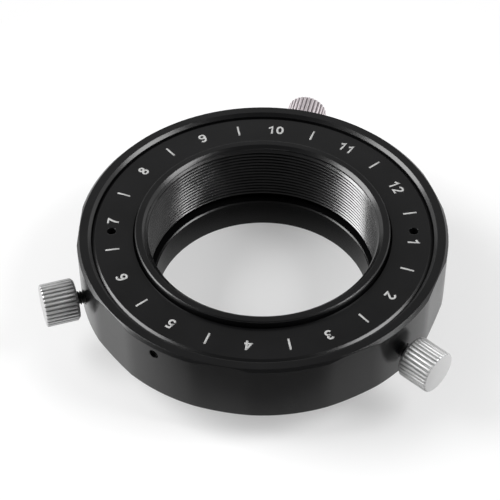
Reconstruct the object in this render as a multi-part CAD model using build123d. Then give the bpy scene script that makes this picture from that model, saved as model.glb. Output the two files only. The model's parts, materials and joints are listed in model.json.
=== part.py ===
from build123d import *
import os
from math import cos, degrees, radians, sin

# Optical rotation mount with M42 x 0.75 threads, in millimetres.
# The Z axis is the optical axis. The male thread's end face lies on z = 0, the numbered dial
# faces +Z, and the +X and -X directions pass through the dial's two spanner holes.
# A flanged rotor turns in the housing between two glide washers, under the screwed-in dial.
# Three thumbscrews push captive V-shoes into the rotor's groove and lock its angle.

os.makedirs("parts", exist_ok=True)

# ---- Radii, from the light path outwards ----
camera_thread_radius = 21.0      # M42 x 0.75, nominal outside
camera_thread_depth = 0.4        # from there to the female thread's crests
male_thread_wall = 1.09          # base adapter, from its bore to its thread's crests
collar_wall = 2.3                # rotor collar, from the thread's crests to its outside
dial_gap = 0.27                  # collar to dial
dial_width = 7.53                # numbered face, inner to outer edge
dial_seat_width = 2.25           # ledge that the dial's rim is screwed down on
housing_wall = 2.55              # housing outside the dial
base_flange_step = 3.7           # housing's outside to the base flange's
shelf_gap = 0.4                  # collar to the housing's shelf
washer_margin = 0.3              # glide washer to the bore and the collar

# ---- Heights, from the male thread's end upwards ----
male_thread_length = 4.0
base_flange_thickness = 2.4
base_recess_depth = 0.64         # pocket in the flange below the rotor
shelf_thickness = 1.8            # housing shelf that carries the rotor
washer_thickness = 0.4
rotor_flange_height = 5.5
dial_thickness = 3.35
rim_rise = 0.65                  # housing rim above the dial
collar_rise = 1.2                # collar above the dial
collar_tail = 1.42               # collar below the rotor flange

# ---- Fits ----
male_thread_fit = 0.05           # male thread below its nominal radius
bearing_fit = 0.06               # rotor flange in the housing bore, radial
axial_play = 0.05                # rotor under the upper washer
thread_fit = 0.05                # screwed joints, radial
bond_fit = 0.02                  # glued joints, radial

# ---- Edges ----
housing_chamfer = 0.5
rim_bevel = 0.55                 # inside of the housing rim, towards the dial
dial_chamfer = 0.4
dial_inner_chamfer = 0.12
collar_edge = 0.2
thread_lead = 0.5                # start of the male thread
thread_mouth = 1.0               # start of the female thread
bore_lip = 0.25
flange_chamfer = 0.3

# ---- Grip flats on the housing ----
flat_count = 9
first_flat_angle = 18.0
flat_depth = 0.37

# ---- Dial ----
spanner_hole_count = 2
spanner_hole_radius = 0.85
spanner_hole_depth = 1.6
spanner_circle_inset = 3.97      # from the dial's inner edge
lock_screw_angle = 236.5
lock_screw_drop = 1.35           # below the dial's face
lock_screw_radius = 0.85
lock_screw_sink = 0.6            # below the housing's outside
lock_socket_width = 0.9
lock_socket_depth = 0.8
lock_tip_bevel = 0.3

# ---- Base screws, M2 countersunk ----
base_screw_count = 4
first_base_screw_angle = 45.0
base_screw_radius = 1.0
base_screw_head_radius = 1.9
base_screw_rise = 1.6            # thread above the base flange
base_socket_width = 1.3
base_socket_depth = 0.7

# ---- Thumbscrews, M2.5 x 0.45 ----
thumbscrew_count = 3
first_thumbscrew_angle = 77.4
shank_radius = 1.25
screw_fit = 0.05                 # shank and shoe in the housing's hole, radial
hole_mouth = 0.25
knob_standoff = 1.45             # housing to knob, at rest
knob_radius = 3.85
knob_length = 6.1
knob_taper = 0.45                # inner end
knob_edge = 0.4                  # outer end
knob_rim = 1.0                   # plain band at the outer end
knob_undercut_width = 0.3        # between the knurl and the plain band
knob_undercut_depth = 0.4
flute_count = 30
flute_depth = 0.3
flute_width = 0.42
shank_seat_depth = 3.5           # shank in the knob

# ---- Clamp shoes and the rotor's V-groove ----
groove_depth = 1.0
shoe_clearance = 0.3             # shoe to groove at rest, along the screw
shoe_tip_radius = 0.3
shoe_length = 2.55
dog_radius = 0.55
dog_length = 0.8
dog_end_gap = 0.1

# ---- Levels that follow ----
shoulder_z = male_thread_length
base_top_z = shoulder_z + base_flange_thickness
recess_floor_z = base_top_z - base_recess_depth
shelf_top_z = base_top_z + shelf_thickness
rotor_bottom_z = shelf_top_z + washer_thickness
groove_z = rotor_bottom_z + rotor_flange_height / 2
rotor_top_z = rotor_bottom_z + rotor_flange_height
upper_washer_z = rotor_top_z + axial_play
dial_seat_z = upper_washer_z + washer_thickness
dial_z = dial_seat_z + dial_thickness
rim_z = dial_z + rim_rise
collar_top_z = dial_z + collar_rise
collar_bottom_z = rotor_bottom_z - collar_tail

# ---- Radii that follow ----
male_thread_radius = camera_thread_radius - male_thread_fit
clear_bore_radius = male_thread_radius - male_thread_wall
female_thread_radius = camera_thread_radius - camera_thread_depth
collar_radius = female_thread_radius + collar_wall
dial_inner_radius = collar_radius + dial_gap
dial_outer_radius = dial_inner_radius + dial_width
dial_pocket_radius = dial_outer_radius + thread_fit
housing_radius = dial_pocket_radius + housing_wall
rotor_bore_radius = dial_pocket_radius - dial_seat_width
rotor_flange_radius = rotor_bore_radius - bearing_fit
shelf_radius = collar_radius + shelf_gap
base_flange_radius = housing_radius - base_flange_step
base_screw_circle = (shelf_radius + base_flange_radius) / 2
spanner_circle = dial_inner_radius + spanner_circle_inset

# ---- Places along a thumbscrew, from the optical axis outwards ----
groove_bottom_radius = rotor_flange_radius - groove_depth
shoe_tip_x = groove_bottom_radius + shoe_clearance + shoe_tip_radius
shoe_cone_x = groove_bottom_radius + shoe_clearance + shank_radius
shoe_back_x = shoe_tip_x + shoe_length
dog_floor_x = shoe_back_x - dog_length - dog_end_gap
knob_inner_x = housing_radius + knob_standoff
knob_outer_x = knob_inner_x + knob_length
knurl_end_x = knob_outer_x - knob_rim
grip_end_x = knurl_end_x - knob_undercut_width


def outline(corners):
    """Closed outline from corners (u, v, bevel), where a bevel cuts its corner back."""
    points = []
    for i, (u, v, bevel) in enumerate(corners):
        corner = Vector(u, v)
        if not bevel:
            points.append(corner)
            continue
        for j in (i - 1, (i + 1) % len(corners)):
            neighbour = Vector(corners[j][0], corners[j][1])
            points.append(corner + (neighbour - corner).normalized() * bevel)
    return Polyline(*points, close=True)


def turned(corners):
    """Ring or disc about the optical axis, from its section in (radius, height)."""
    return revolve(make_face(Plane.XZ * outline(corners)), Axis.Z)


def turned_across(corners):
    """Round piece about the X axis, from its section in (distance along X, radius)."""
    return revolve(make_face(outline(corners)), Axis.X)


def angles(count, first=0.0):
    return [first + i * 360 / count for i in range(count)]


def polar(radius, angle):
    return radius * cos(radians(angle)), radius * sin(radians(angle))


def at_wall(shape, angle, height):
    """Places a piece modelled along +X at an angle round the axis and a height."""
    return Pos(0, 0, height) * Rot(0, 0, angle) * shape


def bar_across(radius, start, end):
    """Round bar along X, from start to end."""
    return Pos((start + end) / 2, 0, 0) * Rot(0, 90, 0) * Cylinder(radius, end - start)


def hex_socket(across_flats, depth):
    """Hexagonal recess that opens downwards on z = 0."""
    return extrude(RegularPolygon(across_flats / 2, 6, major_radius=False), depth)


def hole_through_wall(radius):
    """Radial hole in the housing along X, with a bevelled mouth."""
    hole = bar_across(radius, rotor_bore_radius - 2 * radius, housing_radius + radius)
    mouth = turned_across([
        (housing_radius - hole_mouth, 0, 0),
        (housing_radius - hole_mouth, radius, 0),
        (housing_radius + hole_mouth, radius + 2 * hole_mouth, 0),
        (housing_radius + hole_mouth, 0, 0),
    ])
    return hole + mouth


def housing_ring():
    body = turned([
        (shelf_radius, base_top_z, 0),
        (housing_radius, base_top_z, housing_chamfer),
        (housing_radius, rim_z, housing_chamfer),
        (dial_pocket_radius, rim_z, rim_bevel),
        (dial_pocket_radius, dial_seat_z, 0),
        (rotor_bore_radius, dial_seat_z, 0),
        (rotor_bore_radius, shelf_top_z, 0),
        (shelf_radius, shelf_top_z, 0),
    ])
    height = rim_z - base_top_z
    flat = Pos(housing_radius - flat_depth + height / 2, 0, base_top_z + height / 2) * Box(
        height, housing_radius, height + 2 * housing_chamfer)
    body -= [Rot(0, 0, a) * flat for a in angles(flat_count, first_flat_angle)]
    screw_hole = hole_through_wall(shank_radius + screw_fit)
    body -= [at_wall(screw_hole, a, groove_z)
             for a in angles(thumbscrew_count, first_thumbscrew_angle)]
    lock_hole = bar_across(
        lock_screw_radius + thread_fit, dial_outer_radius - lock_screw_radius, housing_radius + housing_wall)
    body -= at_wall(lock_hole, lock_screw_angle, dial_z - lock_screw_drop)
    tapped = Pos(base_screw_circle, 0, base_top_z + shelf_thickness / 2) * Cylinder(
        base_screw_radius + thread_fit, 2 * shelf_thickness)
    return body - [Rot(0, 0, a) * tapped for a in angles(base_screw_count, first_base_screw_angle)]


def base_adapter():
    body = turned([
        (clear_bore_radius, 0, 0),
        (male_thread_radius, 0, thread_lead),
        (male_thread_radius, shoulder_z, 0),
        (base_flange_radius, shoulder_z, flange_chamfer),
        (base_flange_radius, base_top_z, 0),
        (shelf_radius, base_top_z, 0),
        (shelf_radius, recess_floor_z, 0),
        (clear_bore_radius, recess_floor_z, bore_lip),
    ])
    return body - [screw_place(a) * base_screw_form(thread_fit)
                   for a in angles(base_screw_count, first_base_screw_angle)]


def screw_place(angle):
    return Rot(0, 0, angle) * Pos(base_screw_circle, 0, shoulder_z)


def base_screw_form(fit):
    """Countersunk screw, head down on z = 0, grown by a fit for its hole."""
    head = base_screw_head_radius + fit
    shank = base_screw_radius + fit
    tip_z = base_flange_thickness + base_screw_rise
    return turned([(0, 0, 0), (head, 0, 0), (shank, head - shank, 0), (shank, tip_z, 0), (0, tip_z, 0)])


def base_screws():
    screw = base_screw_form(0) - hex_socket(base_socket_width, base_socket_depth)
    return Compound([screw_place(a) * screw for a in angles(base_screw_count, first_base_screw_angle)])


def rotor_collar():
    return turned([
        (female_thread_radius, collar_bottom_z, 0),
        (collar_radius, collar_bottom_z, 0),
        (collar_radius, rotor_bottom_z, 0),
        (rotor_flange_radius, rotor_bottom_z, 0),
        (rotor_flange_radius, groove_z - groove_depth, 0),
        (groove_bottom_radius, groove_z, 0),
        (rotor_flange_radius, groove_z + groove_depth, 0),
        (rotor_flange_radius, rotor_top_z, 0),
        (collar_radius, rotor_top_z, 0),
        (collar_radius, collar_top_z, collar_edge),
        (female_thread_radius, collar_top_z, thread_mouth),
    ])


def dial_retaining_ring():
    body = turned([
        (dial_inner_radius, dial_seat_z, 0),
        (dial_outer_radius, dial_seat_z, 0),
        (dial_outer_radius, dial_z, dial_chamfer),
        (dial_inner_radius, dial_z, dial_inner_chamfer),
    ])
    hole = Pos(spanner_circle, 0, dial_z) * Cylinder(spanner_hole_radius, 2 * spanner_hole_depth)
    return body - [Rot(0, 0, a) * hole for a in angles(spanner_hole_count)]


def glide_washer(bottom_z):
    inner = collar_radius + washer_margin
    outer = rotor_bore_radius - washer_margin
    top_z = bottom_z + washer_thickness
    return turned([(inner, bottom_z, 0), (outer, bottom_z, 0), (outer, top_z, 0), (inner, top_z, 0)])


def dial_lock_screw():
    tip_x = dial_pocket_radius
    head_x = housing_radius - lock_screw_sink
    screw = turned_across([
        (tip_x, 0, 0),
        (tip_x, lock_screw_radius, lock_tip_bevel),
        (head_x, lock_screw_radius, 0),
        (head_x, 0, 0),
    ])
    screw -= Pos(head_x, 0, 0) * Rot(0, -90, 0) * hex_socket(lock_socket_width, lock_socket_depth)
    return at_wall(screw, lock_screw_angle, dial_z - lock_screw_drop)


def clamp_shoe():
    bore_radius = dog_radius + screw_fit
    return turned_across([
        (shoe_tip_x, 0, 0),
        (shoe_tip_x, shoe_tip_radius, 0),
        (shoe_cone_x, shank_radius, 0),
        (shoe_back_x, shank_radius, 0),
        (shoe_back_x, bore_radius, 0),
        (dog_floor_x, bore_radius, 0),
        (dog_floor_x, 0, 0),
    ])


def thumbscrew_shank():
    dog_x = shoe_back_x - dog_length
    end_x = knob_inner_x + shank_seat_depth
    return turned_across([
        (dog_x, 0, 0),
        (dog_x, dog_radius, 0),
        (shoe_back_x, dog_radius, 0),
        (shoe_back_x, shank_radius, 0),
        (end_x, shank_radius, 0),
        (end_x, 0, 0),
    ])


def thumbscrew_knob():
    waist = knob_radius - knob_undercut_depth
    head = turned_across([
        (grip_end_x, 0, 0),
        (grip_end_x, waist, 0),
        (knurl_end_x, waist, 0),
        (knurl_end_x, knob_radius, 0),
        (knob_outer_x, knob_radius, knob_edge),
        (knob_outer_x, 0, 0),
    ])
    bore = bar_across(shank_radius + bond_fit, knob_inner_x - bond_fit, knob_inner_x + shank_seat_depth)
    return fluted_grip() + head - bore


def fluted_grip():
    """Knurled length of a knob: straight V-flutes with flat lands, tapered at its inner end."""
    pitch = 360 / flute_count
    flute_edge = degrees(flute_width / 2 / knob_radius)
    corners = []
    for start in angles(flute_count):
        corners += [
            polar(knob_radius - flute_depth, start),
            polar(knob_radius, start + flute_edge),
            polar(knob_radius, start + pitch - flute_edge),
        ]
    section = make_face(Plane.YZ * Polyline(*corners, close=True))
    full_x = knob_inner_x + knob_taper
    end = Pos(knob_inner_x, 0, 0) * scale(section, by=1 - knob_taper / knob_radius)
    taper = loft([end, Pos(full_x, 0, 0) * section], ruled=True)
    return taper + Pos(full_x, 0, 0) * extrude(section, grip_end_x - full_x)


pieces = {
    "housing_ring": housing_ring(),
    "base_adapter": base_adapter(),
    "base_screws": base_screws(),
    "rotor_collar": rotor_collar(),
    "dial_retaining_ring": dial_retaining_ring(),
    "dial_lock_screw": dial_lock_screw(),
    "lower_glide_washer": glide_washer(shelf_top_z),
    "upper_glide_washer": glide_washer(upper_washer_z),
}

knob = thumbscrew_knob()
shank = thumbscrew_shank()
shoe = clamp_shoe()
for number, angle in enumerate(angles(thumbscrew_count, first_thumbscrew_angle), start=1):
    pieces[f"thumbscrew_knob_{number}"] = at_wall(knob, angle, groove_z)
    pieces[f"thumbscrew_shank_{number}"] = at_wall(shank, angle, groove_z)
    pieces[f"clamp_shoe_{number}"] = at_wall(shoe, angle, groove_z)

for name, shape in pieces.items():
    export_step(shape, f"parts/{name}.step")
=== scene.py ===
import json
from math import atan2, cos, pi, radians, sin, tan

import bmesh
import bpy
from mathutils import Matrix, Vector


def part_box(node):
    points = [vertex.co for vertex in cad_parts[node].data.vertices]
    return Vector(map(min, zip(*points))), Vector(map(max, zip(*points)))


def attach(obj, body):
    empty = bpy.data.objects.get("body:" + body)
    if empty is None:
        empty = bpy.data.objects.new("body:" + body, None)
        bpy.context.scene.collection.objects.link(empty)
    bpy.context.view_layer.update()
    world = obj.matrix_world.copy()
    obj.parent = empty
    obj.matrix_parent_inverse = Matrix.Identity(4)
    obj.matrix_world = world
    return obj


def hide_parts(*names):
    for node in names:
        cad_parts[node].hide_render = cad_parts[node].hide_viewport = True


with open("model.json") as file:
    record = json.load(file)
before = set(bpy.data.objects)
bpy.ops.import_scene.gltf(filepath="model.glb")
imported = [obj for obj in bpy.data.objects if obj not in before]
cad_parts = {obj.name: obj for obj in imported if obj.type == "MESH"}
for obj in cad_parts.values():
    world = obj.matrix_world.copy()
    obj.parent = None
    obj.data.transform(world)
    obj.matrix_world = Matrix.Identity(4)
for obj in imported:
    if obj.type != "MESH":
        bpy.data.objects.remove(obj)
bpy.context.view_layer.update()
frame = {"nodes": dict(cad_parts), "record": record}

# Optical rotation mount, in metres, in the row frame: z = 0 is the table and +Z the optical axis.
# Made here: the threads, the knobs with their knurl, and the dial ring's broad bevel and marks. Every
# other piece is a smooth copy of its CAD node, and every surface gets a procedural material.

mm = 0.001
nodes = frame["nodes"]
record = frame["record"]
mounts = {mount["name"]: mount for mount in record["mounts"]}
joints = {joint["name"]: joint for joint in record["behaviour"]["joints"]}
thumbscrews = [body for body in record["behaviour"]["bodies"] if body.startswith("thumbscrew")]

# ---- Meshes ----
weld = 0.0005 * mm               # points closer together than this are one
near = 0.02 * mm                 # how close to a height or a radius a point counts as on it
level = 0.9                      # a face whose normal has at least this share of Z lies across the axis
crease = radians(25)             # edges sharper than this aren't smoothed
knob_crease = radians(35)

# ---- Threads ----
thread_half_angle = radians(30)
camera_thread_pitch = 0.75 * mm
camera_thread_inner_depth = 0.406 * mm
camera_thread_outer_depth = 0.46 * mm
screw_thread_pitch = 0.45 * mm
screw_thread_depth = 0.24 * mm
screw_radius = 1.25 * mm
camera_thread_segments = 288
screw_thread_segments = 48

# ---- Thumbscrew knobs, measured along the screw from the knob's inner end ----
bore_clearance = 0.02 * mm
bore_depth = 3.5 * mm
inner_taper = 0.45 * mm
end_round = 0.34 * mm
end_round_steps = 6
edge_break = 0.06 * mm
flute_count = 30
flute_depth = 0.32 * mm
flute_share = 0.56               # flute's width as a share of the pitch
flute_samples = 10
# Knob colour in the flutes and on the lands: the flutes' darker grey is painted shade, set by how
# occluded they are
flute_shade_grey = 0.20
land_grey = 0.78
# Colour of each knob's aluminium; the left one's darkening is painted shade
knob_tints_and_shade = {
    "1": (1.0, 0.92, 0.95),      # rear: a faint pink cast
    "2": (0.79, 0.79, 0.79),     # left: darker, as painted shade, so that its end stands out from the floor
    "3": (1.0, 1.0, 1.0),
}

# ---- Marks on the dial ----
dial_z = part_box("dial_retaining_ring")[1].z
dial_cad_bevel = 0.4 * mm
dial_bevel = 0.64 * mm
mark_circle = 27.1 * mm
mark_height = 0.02 * mm
tick_length = 2.5 * mm
tick_width = 0.35 * mm
numeral_height = 2.12 * mm
numeral_stretch = 1.18           # width of the figures against what figure_strokes draws
numeral_advance = 0.66           # of the height, from one figure to the next, before stretching
stroke_half = 0.090              # half of a stroke's width, of the height
stroke_lift = 0.1                # of the mark's height, by which each stroke of a number tops the last
mitre_limit = 1.6                # most that a stroke widens at a corner
dial_steps = 12
first_tick_angle = 99.7          # degrees from +X, the tick before the numeral 10
first_numeral = 10

# ---- Camera, solved for the photograph's 500 x 500 frame ----
image_size = 500
focal_px = 1717.3
sensor_width = 36.0
camera_elevation = radians(45.54)
camera_distance = 308.38 * mm
dial_centre_px = (262.59, 231.14)

# ---- Stage ----
floor_radius = 3.0
floor_segments = 96
floor_grey = 0.93
floor_fading = 0.99              # of that grey, in the floor's faint clouds
floor_cloud = 40.0               # mm
# Each of the next four holds two shares and, in mm, the two places that they are reached at. The first
# two say how light the object mirrors the floor, by Y and by distance from the axis: painted shade in
# its reflections at the front and in the bore.
mirrored_front = (0.10, 1.0, -43.0, -24.0)
mirrored_bore = (0.10, 1.0, 16.0, 24.0)
# These say how much of the floor's own shade gives way to plain white, by distance from the axis.
white_table = (0.42, 1.0, 40.0, 100.0)
white_round_bore = (0.68, 1.0, 22.0, 30.0)
backdrop_greys = ((12, 1.0), (28, 0.50), (45, 0.23), (65, 0.08))     # elevation in degrees, grey
front_darkening = 1.4            # how much sooner the backdrop darkens at the front


# ================================================================ materials

line_detail = 3.0
line_roughness = 0.7
bevel_samples = 6
openness_samples = 8
mix_values = 2, 3                # a Mix node's two inputs for values
mix_colours = 6, 7               # and for colours
mixed_colour = 2                 # its output for colours


class Finish:
    """A node material. Places on the surface are read in mm, in the row frame or a frame given."""

    def __init__(self, name, place=None):
        self.material = bpy.data.materials.new(name)
        self.material.use_nodes = True
        self.tree = self.material.node_tree
        self.shader = self.tree.nodes["Principled BSDF"]
        self.place = self.add("ShaderNodeMapping")
        scale = self.add("ShaderNodeVectorMath", operation="SCALE")
        scale.inputs["Scale"].default_value = 1 / mm
        self.link(self.add("ShaderNodeTexCoord").outputs["Object"], scale.inputs[0])
        self.link(scale.outputs[0], self.place.inputs["Vector"])
        if place:
            turn = place.to_quaternion().inverted()
            self.place.inputs["Rotation"].default_value = turn.to_euler()
            self.place.inputs["Location"].default_value = -(turn @ place.to_translation()) / mm
        self.place = self.place.outputs[0]

    def add(self, kind, **settings):
        node = self.tree.nodes.new(kind)
        for key, value in settings.items():
            setattr(node, key, value)
        return node

    def link(self, source, target):
        self.tree.links.new(source, target)

    def noise(self, size, detail=2.0):
        """Grain of a size in mm, 0 to 1."""
        node = self.add("ShaderNodeTexNoise")
        node.inputs["Scale"].default_value = 1 / size
        node.inputs["Detail"].default_value = detail
        self.link(self.place, node.inputs["Vector"])
        return node.outputs["Fac"]

    def radius(self):
        """Distance from the turning axis, in mm."""
        flat = self.add("ShaderNodeVectorMath", operation="MULTIPLY")
        flat.inputs[1].default_value = (1, 1, 0)
        self.link(self.place, flat.inputs[0])
        length = self.add("ShaderNodeVectorMath", operation="LENGTH")
        self.link(flat.outputs[0], length.inputs[0])
        return length.outputs["Value"]

    def height(self):
        """Place along the turning axis, in mm."""
        split = self.add("ShaderNodeSeparateXYZ")
        self.link(self.place, split.inputs[0])
        return split.outputs["Z"]

    def lines(self, source, size):
        """Uneven turned lines about a size apart, across a value in mm."""
        node = self.add("ShaderNodeTexNoise", noise_dimensions="1D")
        node.inputs["Scale"].default_value = 1 / size
        node.inputs["Detail"].default_value = line_detail
        node.inputs["Roughness"].default_value = line_roughness
        self.link(source, node.inputs["W"])
        return node.outputs["Fac"]

    def mixed(self, first, second, share=0.5):
        """A blend of two values. share is how much of the second goes in."""
        node = self.add("ShaderNodeMix")
        node.inputs["Factor"].default_value = share
        for value, socket in zip((first, second), mix_values):
            self.link(value, node.inputs[socket])
        return node.outputs[0]

    def mapped(self, source, low, high, start=0.3, end=0.7):
        """source between start and end, as a value between low and high. Most noise is in 0.3 to 0.7."""
        node = self.add("ShaderNodeMapRange")
        self.link(source, node.inputs["Value"])
        for key, value in (("From Min", start), ("From Max", end), ("To Min", low), ("To Max", high)):
            node.inputs[key].default_value = value
        return node.outputs[0]

    def tint(self, source, dark, light):
        """Colours the surface, dark where source is 0 and light where it is 1."""
        node = self.add("ShaderNodeMix", data_type="RGBA")
        self.link(source, node.inputs[0])
        for colour, socket in zip((dark, light), mix_colours):
            node.inputs[socket].default_value = (*colour, 1)
        self.link(node.outputs[mixed_colour], self.shader.inputs["Base Color"])

    def rough(self, source, low, high):
        """Gives the surface a roughness between low and high, uneven as a grain is."""
        self.link(self.mapped(source, low, high), self.shader.inputs["Roughness"])

    def soften(self, radius):
        """Shades every edge as if it were rounded by a radius in mm."""
        node = self.add("ShaderNodeBevel", samples=bevel_samples)
        node.inputs["Radius"].default_value = radius * mm
        self.link(node.outputs[0], self.shader.inputs["Normal"])

    def openness(self, reach):
        """How open the surface lies within a reach in mm: 1 on a plain face, less in grooves."""
        node = self.add("ShaderNodeAmbientOcclusion", samples=openness_samples, only_local=True)
        node.inputs["Distance"].default_value = reach * mm
        return node.outputs["AO"]

    def bump(self, source, depth, strength):
        """Relief of a depth in mm, added to what the surface already has."""
        node = self.add("ShaderNodeBump")
        node.inputs["Strength"].default_value = strength
        node.inputs["Distance"].default_value = depth * mm
        self.link(source, node.inputs["Height"])
        normal = self.shader.inputs["Normal"]
        if normal.is_linked:
            self.link(normal.links[0].from_socket, node.inputs["Normal"])
        self.link(node.outputs[0], normal)

    def set(self, **sockets):
        """Sets plain values, named as the shader's sockets are, with _ for a space."""
        for key, value in sockets.items():
            self.shader.inputs[key.replace("_", " ")].default_value = value
        return self


def black_anodised():
    """Bead-blasted black anodised aluminium: fine even grain, faint turning lines, slight fading."""
    finish = Finish("black_anodised")
    grain = finish.noise(size=0.12, detail=3.0)
    cloud = finish.noise(size=9.0, detail=4.0)
    turning = finish.lines(finish.radius(), size=0.18)
    fading = finish.mapped(cloud, 0, 1)
    finish.tint(fading, dark=(0.0028, 0.0028, 0.0030), light=(0.0046, 0.0046, 0.0049))
    finish.rough(finish.mixed(cloud, grain), low=0.21, high=0.28)
    finish.soften(radius=0.14)
    finish.bump(turning, depth=0.002, strength=0.4)
    finish.bump(grain, depth=0.004, strength=0.4)
    return finish.set(IOR=1.52).material


def black_thread():
    """Cut and anodised thread: smoother than the blasted faces, with lines along its turns."""
    finish = Finish("black_thread")
    turning = finish.lines(finish.height(), size=0.06)
    cloud = finish.noise(size=5.0, detail=3.0)
    fading = finish.mapped(cloud, 0, 1)
    finish.tint(fading, dark=(0.0020, 0.0020, 0.0022), light=(0.0040, 0.0040, 0.0043))
    finish.rough(cloud, low=0.15, high=0.22)
    finish.soften(radius=0.05)
    finish.bump(turning, depth=0.003, strength=0.3)
    return finish.set(IOR=2.1).material


def black_steel():
    """Black oxide on a steel screw."""
    finish = Finish("black_steel")
    cloud = finish.noise(size=1.2, detail=4.0)
    finish.tint(finish.mapped(cloud, 0, 1), dark=(0.010, 0.010, 0.010), light=(0.024, 0.023, 0.022))
    finish.rough(cloud, low=0.28, high=0.42)
    finish.soften(radius=0.05)
    finish.bump(finish.noise(size=0.15), depth=0.004, strength=0.4)
    return finish.set(Metallic=0.2).material


def knob_aluminium(number, place):
    """Clear anodised aluminium, turned across the knob's own axis, with painted shade in the flutes."""
    finish = Finish(f"knob_aluminium_{number}", place)
    across, along_axis = finish.radius(), finish.height()
    turning = finish.mixed(finish.lines(across, size=0.11), finish.lines(along_axis, size=0.09))
    cloud = finish.noise(size=1.6, detail=3.0)
    # Mostly painted shade from how open the surface lies, so the flutes come out darker, with a little
    # uneven tone
    tone_and_painted_shade = finish.mixed(cloud, finish.openness(reach=0.5), share=0.8)
    knob_tint_and_shade = knob_tints_and_shade[number]
    finish.tint(finish.mapped(tone_and_painted_shade, 0, 1, start=0.35, end=0.88),
                dark=[flute_shade_grey * channel for channel in knob_tint_and_shade],
                light=[land_grey * channel for channel in knob_tint_and_shade])
    finish.rough(finish.mixed(cloud, turning), low=0.45, high=0.57)
    finish.bump(turning, depth=0.006, strength=0.4)
    return finish.set(Metallic=1.0).material


def turned_brass():
    """Bare brass of the shoes, slightly cloudy."""
    finish = Finish("turned_brass")
    cloud = finish.noise(size=1.0, detail=3.0)
    finish.tint(finish.mapped(cloud, 0, 1), dark=(0.62, 0.43, 0.16), light=(0.74, 0.55, 0.24))
    finish.rough(cloud, low=0.22, high=0.36)
    finish.bump(finish.noise(size=0.12), depth=0.003, strength=0.4)
    return finish.set(Metallic=1.0).material


def glide_plastic():
    """Off-white plastic of the washers."""
    finish = Finish("glide_plastic")
    cloud = finish.noise(size=4.0, detail=4.0)
    finish.tint(finish.mapped(cloud, 0, 1), dark=(0.78, 0.78, 0.75), light=(0.86, 0.86, 0.84))
    finish.rough(cloud, low=0.45, high=0.60)
    finish.bump(finish.noise(size=0.3), depth=0.004, strength=0.3)
    return finish.material


def mark_paint():
    """Pale paint of the dial's marks, a little uneven."""
    finish = Finish("mark_paint")
    grain = finish.noise(size=0.25, detail=3.0)
    finish.tint(finish.mapped(grain, 0, 1), dark=(0.40, 0.40, 0.395), light=(0.48, 0.48, 0.475))
    finish.rough(grain, low=0.50, high=0.65)
    finish.bump(grain, depth=0.006, strength=0.4)
    return finish.material


# ================================================================ meshes

def new_piece(name, bm, body, material, smooth_angle=None):
    """Turns a bmesh into a piece that rides on a body."""
    mesh = bpy.data.meshes.new(name)
    bm.to_mesh(mesh)
    bm.free()
    facet_shading = ("custom_normal", "sharp_edge", "sharp_face")
    for attribute in [a for a in mesh.attributes if a.name in facet_shading]:
        mesh.attributes.remove(attribute)
    piece = bpy.data.objects.new(name, mesh)
    scene.collection.objects.link(piece)
    if smooth_angle:
        mesh.shade_smooth()
        mesh.set_sharp_from_angle(angle=smooth_angle)
    mesh.materials.append(material)
    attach(piece, body)
    return piece


def thread_wall(bm, low, high, crest, pitch, depth, ends, segments, inside):
    """Adds a right-hand thread about Z to a bmesh, from z low to z high. Returns its points.

    crest is the radius at the thread's crests, and ends(z) the radius that the end chamfers leave.
    The turns are 60 degree Vs with flat crests and roots. inside is True for a female thread.
    """
    side = 1 if inside else -1
    choose = max if inside else min
    crest_flat = 1 / 4 if inside else 1 / 8          # of the pitch, as on a metric thread
    flank = depth * tan(thread_half_angle) / pitch
    corners_of_turn = (0, crest_flat, crest_flat + flank, 1 - flank)
    spare_turns = 3                                  # run past both ends and are cut off there
    turns = int((high - low) / pitch) + spare_turns
    rows = [turn + place for turn in range(-1, turns) for place in corners_of_turn]

    def cut(place):
        """Depth of the groove at a place along the thread in turns: 0 at a crest and 1 at a root."""
        place %= 1.0
        return min(max((place - crest_flat) / flank, 0.0), 1.0, max((1 - place) / flank, 0.0))

    points = []
    columns = []
    for i in range(segments + 1):
        turn = i / segments
        angle = 2 * pi * turn
        column = [(low, choose(crest, ends(low)))]
        for place in rows:
            z = min(max(low + (place + turn - 1) * pitch, low), high)
            groove = cut(round((z - low) / pitch + 1 - turn, 9))
            column.append((z, choose(crest + side * groove * depth, ends(z))))
        column.append((high, choose(crest, ends(high))))
        columns.append([bm.verts.new((radius * cos(angle), radius * sin(angle), z))
                        for z, radius in column])
        points.extend(columns[-1])
    for left, right in zip(columns, columns[1:]):
        for j in range(len(left) - 1):
            corners = (left[j], right[j], right[j + 1], left[j + 1])
            bm.faces.new(corners[::-1] if inside else corners)
    return points


def stitch(bm, first, second):
    """Joins two rings of points round Z with triangles, each to whichever next point comes first."""
    bm.verts.index_update()
    rings = []
    for points in (first, second):
        ring = sorted((atan2(v.co.y, v.co.x), v.index, v) for v in points)
        angle, index, v = ring[0]
        rings.append(ring + [(angle + 2 * pi, index, v)])
    one, other = rings
    i = j = 0
    while i + 1 < len(one) or j + 1 < len(other):
        if j + 1 == len(other) or (i + 1 < len(one) and one[i + 1][0] <= other[j + 1][0]):
            bm.faces.new((one[i][-1], one[i + 1][-1], other[j][-1]))
            i += 1
        else:
            bm.faces.new((other[j][-1], other[j + 1][-1], one[i][-1]))
            j += 1


def cad_mesh(node):
    """The CAD node's mesh, with its facets joined so that its curved walls can shade smoothly."""
    bm = bmesh.new()
    bm.from_mesh(nodes[node].data)
    bmesh.ops.remove_doubles(bm, verts=bm.verts, dist=weld)
    return bm


def smooth_copy(node, body, material):
    """Stands for a CAD node with the same shape, without its facets."""
    piece = new_piece(f"{node}_smooth", cad_mesh(node), body, material, smooth_angle=crease)
    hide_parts(node)


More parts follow.
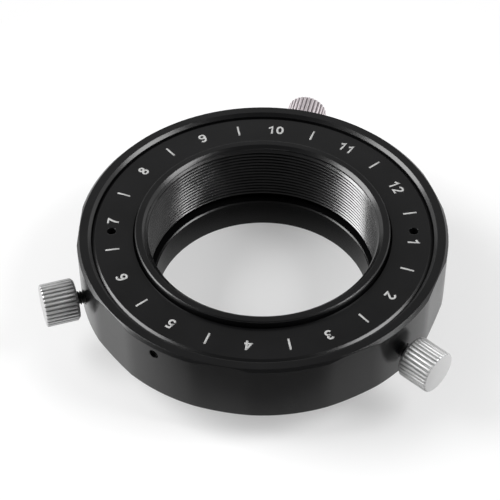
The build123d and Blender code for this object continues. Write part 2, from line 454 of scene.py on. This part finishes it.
def dial(material):
    """The dial ring, its outer edge's bevel broadened to what the photograph shows."""
    bm = cad_mesh("dial_retaining_ring")
    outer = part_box("dial_retaining_ring")[1].x
    for v in bm.verts:
        radius = v.co.xy.length
        if abs(outer - radius - dial_cad_bevel) < near:
            v.co.xy *= (outer - dial_bevel) / radius
    name = "dial_retaining_ring_bevelled"
    piece = new_piece(name, bm, "housing", material, smooth_angle=crease)
    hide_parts("dial_retaining_ring")


def threaded(node, body, slot, material, thread_material, place, crest, reach, low, high, **thread):
    """Copy of a CAD node whose plain threaded wall is swapped for a real thread.

    place is the thread's frame. The wall is every upright face from z low to z high whose points lie
    between the two radii of reach. thread holds what else thread_wall takes.
    """
    bm = cad_mesh(node)
    bm.transform(place.inverted())
    bm.normal_update()

    def on_wall(v):
        return (reach[0] - near < v.co.xy.length < reach[1] + near
                and low - near < v.co.z < high + near)

    wall = [face for face in bm.faces if abs(face.normal.z) < level and all(map(on_wall, face.verts))]
    bmesh.ops.delete(bm, geom=wall, context="FACES")
    kept = set(bm.faces)
    bmesh.ops.remove_doubles(bm, verts=thread_wall(bm, low, high, crest, **thread), dist=weld)
    for z in (low, high):
        rim = {v for e in bm.edges if e.is_boundary for v in e.verts if abs(v.co.z - z) < near}
        cad_rim = {v for v in rim if any(face in kept for face in v.link_faces)}
        stitch(bm, cad_rim, rim - cad_rim)
    bmesh.ops.recalc_face_normals(bm, faces=bm.faces)
    if bm.calc_volume(signed=True) < 0:
        bmesh.ops.reverse_faces(bm, faces=bm.faces)
    # The turns take the second material, and the CAD's faces and the chamfered ends the first.
    ends = thread["ends"]
    for face in bm.faces:
        face.material_index = 0 if face in kept or ends(face.calc_center_median().z) != crest else 1
    bm.transform(place)
    piece = new_piece(f"{node}_threaded", bm, body, material, smooth_angle=crease)
    piece.data.materials.append(thread_material)
    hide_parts(node)


def rotor(material, thread_material):
    """The turning collar, with its female thread from end to end."""
    low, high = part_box("rotor_collar")
    mount = mounts["female_thread"]
    crest = mount["dims"]["r_mm"] * mm
    mid, half = mount["pos_m"][2], mount["dims"]["length_mm"] * mm / 2

    def ends(z):
        return crest + max(0.0, z - mid - half, mid - half - z)

    threaded(
        "rotor_collar", "rotor", "black_anodised", material, thread_material, Matrix(), crest,
        (crest, ends(high.z)), low.z, high.z,
        pitch=camera_thread_pitch, depth=camera_thread_inner_depth,
        ends=ends, segments=camera_thread_segments, inside=True)


def base(material, thread_material):
    """The adapter that the mount stands on, with its male thread."""
    mount = mounts["male_thread"]
    crest = mount["dims"]["r_mm"] * mm
    mid, half = mount["pos_m"][2], mount["dims"]["length_mm"] * mm / 2

    def ends(z):
        return crest - max(0.0, mid - half - z)

    threaded(
        "base_adapter", "housing", "black_anodised", material, thread_material, Matrix(), crest,
        (ends(0.0), crest), 0.0, mid + half,
        pitch=camera_thread_pitch, depth=camera_thread_outer_depth,
        ends=ends, segments=camera_thread_segments, inside=False)


def thumbscrew_frame(body):
    """Frame of a thumbscrew: its Z axis is the screw's, pointing outwards, from the optical axis."""
    joint = joints[f"{body}_turn"]
    turn = Vector((0, 0, 1)).rotation_difference(Vector(joint["axis"]))
    return Matrix.Translation(joint["pos_m"]) @ turn.to_matrix().to_4x4()


def along(node, place, radius=None):
    """Lowest and highest place of a node along a frame's Z axis, or of its points at a radius."""
    back = place.inverted()
    points = [back @ v.co for v in nodes[node].data.vertices]
    reach = [p.z for p in points if radius is None or abs(p.xy.length - radius) < near]
    return min(reach), max(reach)


def shank(number, place, material):
    """A thumbscrew's screw, with its thread."""
    node = f"thumbscrew_shank_{number}"
    low, high = along(node, place, screw_radius)

    def ends(z):
        return screw_radius - max(0.0, low + screw_thread_depth - z) / 2

    threaded(
        node, f"thumbscrew_{number}", "black_steel", material, material, place, screw_radius,
        (screw_radius, screw_radius), low, high,
        pitch=screw_thread_pitch, depth=screw_thread_depth,
        ends=ends, segments=screw_thread_segments, inside=False)


def knob(number, place, material):
    """Knurled knob, with straight flutes from its tapered inner end to its rounded outer edge."""
    node = f"thumbscrew_knob_{number}"
    inner, outer = along(node, place)
    back = place.inverted()
    radius = max((back @ v.co).xy.length for v in nodes[node].data.vertices)
    bore = screw_radius + bore_clearance
    # Each row is a place along the screw and the radius there, from the bore's bottom round to the end.
    rows = [
        (inner + bore_depth, 0),
        (inner + bore_depth, bore),
        (inner, bore),
        (inner, radius - inner_taper - edge_break),
        (inner + edge_break, radius - inner_taper),
        (inner + inner_taper, radius - edge_break / 2),
        (inner + inner_taper + edge_break, radius),
    ]
    for k in range(end_round_steps + 1):
        angle = pi / 2 * k / end_round_steps
        rows.append((outer - end_round * (1 - sin(angle)), radius - end_round * (1 - cos(angle))))
    rows.append((outer, 0))
    bm = bmesh.new()
    columns = flute_count * flute_samples
    rings = []
    for z, row_radius in rows:
        ring = []
        for i in range(columns if row_radius else 1):
            share = (i % flute_samples + 0.5) / flute_samples - 0.5
            fluted = radius - flute_depth * max(0.0, cos(pi * share / flute_share))
            reach = min(row_radius, fluted)
            angle = 2 * pi * i / columns
            ring.append(bm.verts.new((reach * cos(angle), reach * sin(angle), z)))
        rings.append(ring)
    for lower, upper in zip(rings, rings[1:]):
        for i in range(columns):
            corners = (lower[i % len(lower)], lower[(i + 1) % len(lower)],
                       upper[(i + 1) % len(upper)], upper[i % len(upper)])
            bm.faces.new(dict.fromkeys(corners))
    bm.transform(place)
    body = f"thumbscrew_{number}"
    piece = new_piece(f"{node}_knurled", bm, body, material, smooth_angle=knob_crease)
    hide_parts(node)


# ================================================================ marks on the dial

def arc(centre, radii, start, end, steps=12):
    """Points on an ellipse between two angles in degrees. It runs clockwise where end is less."""
    angles = [radians(start + (end - start) * k / steps) for k in range(steps + 1)]
    return [(centre[0] + radii[0] * cos(a), centre[1] + radii[1] * sin(a)) for a in angles]


def figure_strokes(figure):
    """Centre lines of a figure's strokes, one unit high from its base line, as lists of points."""
    bowl = [arc((0.285, 0.305), (0.20, 0.22), 0, 360, steps=24),
            [(0.085, 0.305)] + arc((0.32, 0.50), (0.235, 0.415), 180, 50)]
    return {
        "0": [arc((0.285, 0.50), (0.205, 0.415), 0, 360, steps=28)],
        "1": [[(0.08, 0.70), (0.25, 0.79), (0.355, 0.93), (0.355, 0.0)]],
        "2": [arc((0.29, 0.705), (0.20, 0.21), 170, -35) + [(0.11, 0.085), (0.52, 0.085)]],
        "3": [arc((0.275, 0.735), (0.175, 0.18), 160, -90)
              + arc((0.275, 0.30), (0.20, 0.215), 90, -160)],
        "4": [[(0.39, 0.93), (0.075, 0.315), (0.56, 0.315)], [(0.39, 1.0), (0.39, 0.0)]],
        "5": [[(0.50, 0.915), (0.175, 0.915)] + arc((0.28, 0.33), (0.205, 0.245), 145, -155)],
        "6": bowl,
        "7": [[(0.05, 0.915), (0.50, 0.915), (0.34, 0.62), (0.24, 0.32), (0.20, 0.0)]],
        "8": [arc((0.28, 0.735), (0.165, 0.18), 0, 360, steps=24),
              arc((0.28, 0.29), (0.20, 0.205), 0, 360, steps=24)],
        "9": [[(0.57 - x, 1 - y) for x, y in line] for line in bowl],
    }[figure]


def prism(bm, outline, half_height, place):
    """Adds an upright prism to a bmesh, from an outline in the frame's XY plane."""
    top = [bm.verts.new(place @ Vector((*point, half_height))) for point in outline]
    bottom = [bm.verts.new(place @ Vector((*point, -half_height))) for point in outline]
    bm.faces.new(top)
    bm.faces.new(bottom[::-1])
    for j in range(len(outline)):
        bm.faces.new((top[j - 1], bottom[j - 1], bottom[j], top[j]))


def stroke_sides(line, half_width):
    """Left and right edges of a stroke along a line of points, mitred at its corners."""
    closed = (Vector(line[0]) - Vector(line[-1])).length < weld
    points = [Vector(point) for point in (line[:-1] if closed else line)]
    count = len(points)
    left, right = [], []
    for i, point in enumerate(points):
        before = points[i - 1] if i or closed else None
        after = points[(i + 1) % count] if i + 1 < count or closed else None
        normals = [Vector((-(b - a).y, (b - a).x)).normalized()
                   for a, b in ((before, point), (point, after)) if a is not None and b is not None]
        middle = sum(normals, Vector((0, 0))).normalized()
        offset = middle * half_width * (1 / max(middle.dot(normals[0]), 1 / mitre_limit))
        left.append(point + offset)
        right.append(point - offset)
    return left, right, closed


def ribbon(bm, left, right, closed, half_height, place):
    """Adds a flat stroke between two edges to a bmesh, open-ended or closed on itself."""
    sections = []
    for a, b in zip(left, right):
        corners = ((*a, half_height), (*b, half_height), (*b, -half_height), (*a, -half_height))
        sections.append([bm.verts.new(place @ Vector(corner)) for corner in corners])
    if closed:
        sections.append(sections[0])
    else:
        bm.faces.new(sections[0])
        bm.faces.new(sections[-1][::-1])
    for here, there in zip(sections, sections[1:]):
        for j in range(4):
            bm.faces.new((here[j - 1], there[j - 1], there[j], here[j]))


def numerals(material):
    """The dial's numbers, tops outwards, halfway between the ticks."""
    bm = bmesh.new()
    step = 360 / dial_steps
    for i in range(dial_steps):
        text = str((first_numeral - 1 + i) % dial_steps + 1)
        lines = [[((x + k * numeral_advance) * numeral_stretch * numeral_height, y * numeral_height)
                  for x, y in line]
                 for k, figure in enumerate(text) for line in figure_strokes(figure)]
        across = [x for line in lines for x, _ in line]
        centre = Vector(((min(across) + max(across)) / 2, numeral_height / 2, 0))
        place = (Matrix.Rotation(radians(first_tick_angle - step / 2 - i * step), 4, "Z")
                 @ Matrix.Translation((mark_circle, 0, dial_z)) @ Matrix.Rotation(radians(-90), 4, "Z")
                 @ Matrix.Translation(-centre))
        for k, line in enumerate(lines):
            left, right, closed = stroke_sides(line, stroke_half * numeral_height)
            ribbon(bm, left, right, closed, mark_height / 2 * (1 + stroke_lift * k), place)
    bmesh.ops.recalc_face_normals(bm, faces=bm.faces)
    new_piece("dial_numerals", bm, "housing", material)


def ticks(material):
    """Radial lines between the numbers."""
    bm = bmesh.new()
    half_length, half_width = tick_length / 2, tick_width / 2
    outline = ((-half_length, -half_width), (half_length, -half_width),
               (half_length, half_width), (-half_length, half_width))
    for i in range(dial_steps):
        place = (Matrix.Rotation(radians(first_tick_angle - i * 360 / dial_steps), 4, "Z")
                 @ Matrix.Translation((mark_circle, 0, dial_z)))
        prism(bm, outline, mark_height / 2, place)
    new_piece("dial_ticks", bm, "housing", material)


# ================================================================ stage

def make_floor():
    """Pale table. It keeps the object's shadow and fades to plain white round it.

    The object mirrors it darker in the bore and at the front than the camera sees it: painted shade in
    those reflections.
    """
    bm = bmesh.new()
    bmesh.ops.create_circle(bm, cap_ends=True, segments=floor_segments, radius=floor_radius)
    mesh = bpy.data.meshes.new("floor")
    bm.to_mesh(mesh)
    bm.free()
    table = bpy.data.objects.new("floor", mesh)
    scene.collection.objects.link(table)
    finish = Finish("pale_floor")
    path = finish.add("ShaderNodeLightPath")
    split = finish.add("ShaderNodeSeparateXYZ")
    finish.link(finish.place, split.inputs[0])

    def times(first, second):
        node = finish.add("ShaderNodeMath", operation="MULTIPLY")
        finish.link(first, node.inputs[0])
        finish.link(second, node.inputs[1])
        return node.outputs[0]

    cloth = finish.add("ShaderNodeBsdfDiffuse")
    # Painted shade: the floor seen in reflections darkens at the front and in the bore
    dim = times(finish.mapped(split.outputs["Y"], *mirrored_front),
                finish.mapped(finish.radius(), *mirrored_bore))
    shade = finish.add("ShaderNodeMix")
    finish.link(path.outputs["Is Glossy Ray"], shade.inputs["Factor"])
    undimmed, dimmed = (shade.inputs[socket] for socket in mix_values)
    undimmed.default_value = 1.0
    finish.link(dim, dimmed)
    grey = finish.mapped(finish.noise(floor_cloud), floor_grey * floor_fading, floor_grey)
    finish.link(times(shade.outputs[0], grey), cloth.inputs["Color"])
    white = finish.add("ShaderNodeEmission")
    far = times(finish.mapped(finish.radius(), *white_table),
                finish.mapped(finish.radius(), *white_round_bore))
    mirrored = times(path.outputs["Is Glossy Ray"], dim)
    looked_at = finish.add("ShaderNodeMath", operation="MAXIMUM")
    finish.link(path.outputs["Is Camera Ray"], looked_at.inputs[0])
    finish.link(mirrored, looked_at.inputs[1])
    mix = finish.add("ShaderNodeMixShader")
    finish.link(times(far, looked_at.outputs[0]), mix.inputs[0])
    finish.link(cloth.outputs[0], mix.inputs[1])
    finish.link(white.outputs[0], mix.inputs[2])
    finish.link(mix.outputs[0], finish.tree.nodes["Material Output"].inputs["Surface"])
    mesh.materials.append(finish.material)


def make_world():
    """White backdrop all round. It darkens towards the studio's ceiling, and soonest at the front."""
    world = bpy.data.worlds.new("studio")
    scene.world = world
    world.use_nodes = True
    tree = world.node_tree

    def math(operation, *values):
        node = tree.nodes.new("ShaderNodeMath")
        node.operation = operation
        for socket, value in zip(node.inputs, values):
            if isinstance(value, bpy.types.NodeSocket):
                tree.links.new(value, socket)
            else:
                socket.default_value = value
        return node.outputs[0]

    way = tree.nodes.new("ShaderNodeTexCoord")
    split = tree.nodes.new("ShaderNodeSeparateXYZ")
    tree.links.new(way.outputs["Generated"], split.inputs[0])
    front = math("MAXIMUM", math("MULTIPLY", split.outputs["Y"], -1.0), 0.0)
    raised = math("MULTIPLY", split.outputs["Z"], math("MULTIPLY_ADD", front, front_darkening, 1.0))
    shade = tree.nodes.new("ShaderNodeValToRGB")
    tree.links.new(raised, shade.inputs[0])
    stops = shade.color_ramp.elements       # a new stop makes older references stale
    for stop, (_, grey) in ((stops[0], backdrop_greys[0]), (stops[1], backdrop_greys[-1])):
        stop.color = (grey, grey, grey, 1)
    for elevation, grey in backdrop_greys:
        stops.new(sin(radians(elevation))).color = (grey, grey, grey, 1)
    tree.links.new(shade.outputs[0], tree.nodes["Background"].inputs["Color"])


def softbox(name, azimuth, elevation, distance, width, height, power):
    """Area lamp that looks at the mount. Azimuth 0 is +X and 90 is +Y."""
    lamp = bpy.data.lights.new(name, "AREA")
    lamp.shape = "RECTANGLE"
    lamp.size = width
    lamp.size_y = height
    lamp.energy = power
    holder = bpy.data.objects.new(name, lamp)
    aim = Vector((cos(azimuth) * cos(elevation), sin(azimuth) * cos(elevation), sin(elevation)))
    holder.location = aim * distance
    holder.rotation_euler = aim.to_track_quat("Z", "Y").to_euler()
    scene.collection.objects.link(holder)


def make_lights():
    """Two softboxes, left and right. Sizes are in metres and powers in watts."""
    softbox("left_softbox", azimuth=radians(173), elevation=radians(36), distance=0.6,
            width=0.37, height=0.43, power=4.3)
    softbox("right_softbox", azimuth=radians(-9), elevation=radians(43), distance=0.6,
            width=0.27, height=0.31, power=2.4)


def make_camera():
    """The photograph's camera, which looks down at the dial from the front. Its frame is shifted."""
    data = bpy.data.cameras.new("camera")
    data.sensor_width = sensor_width
    data.lens = sensor_width * focal_px / image_size
    data.shift_x = (image_size / 2 - dial_centre_px[0]) / image_size
    data.shift_y = (dial_centre_px[1] - image_size / 2) / image_size
    data.clip_start = 0.01
    camera = bpy.data.objects.new("camera", data)
    aim = Vector((0, -cos(camera_elevation), sin(camera_elevation)))
    camera.location = Vector((0, 0, dial_z)) + aim * camera_distance
    camera.rotation_euler = aim.to_track_quat("Z", "Y").to_euler()
    scene.collection.objects.link(camera)
    scene.camera = camera


# ================================================================ the object

scene = bpy.context.scene
scene.view_settings.view_transform = "Standard"

anodised = black_anodised()
thread_black = black_thread()
steel = black_steel()
brass = turned_brass()
plastic = glide_plastic()
paint = mark_paint()

smooth_copy("housing_ring", "housing", anodised)
dial(anodised)
for node in ("base_screws", "dial_lock_screw"):
    smooth_copy(node, "housing", steel)
for node in ("lower_glide_washer", "upper_glide_washer"):
    smooth_copy(node, "housing", plastic)

rotor(anodised, thread_black)
base(anodised, thread_black)
numerals(paint)
ticks(paint)

for body in thumbscrews:
    number = body.split("_")[1]
    place = thumbscrew_frame(body)
    knob(number, place, knob_aluminium(number, place))
    shank(number, place, steel)
    smooth_copy(f"clamp_shoe_{number}", f"shoe_{number}", brass)

make_floor()
make_world()
make_lights()
make_camera()

bpy.context.view_layer.update()
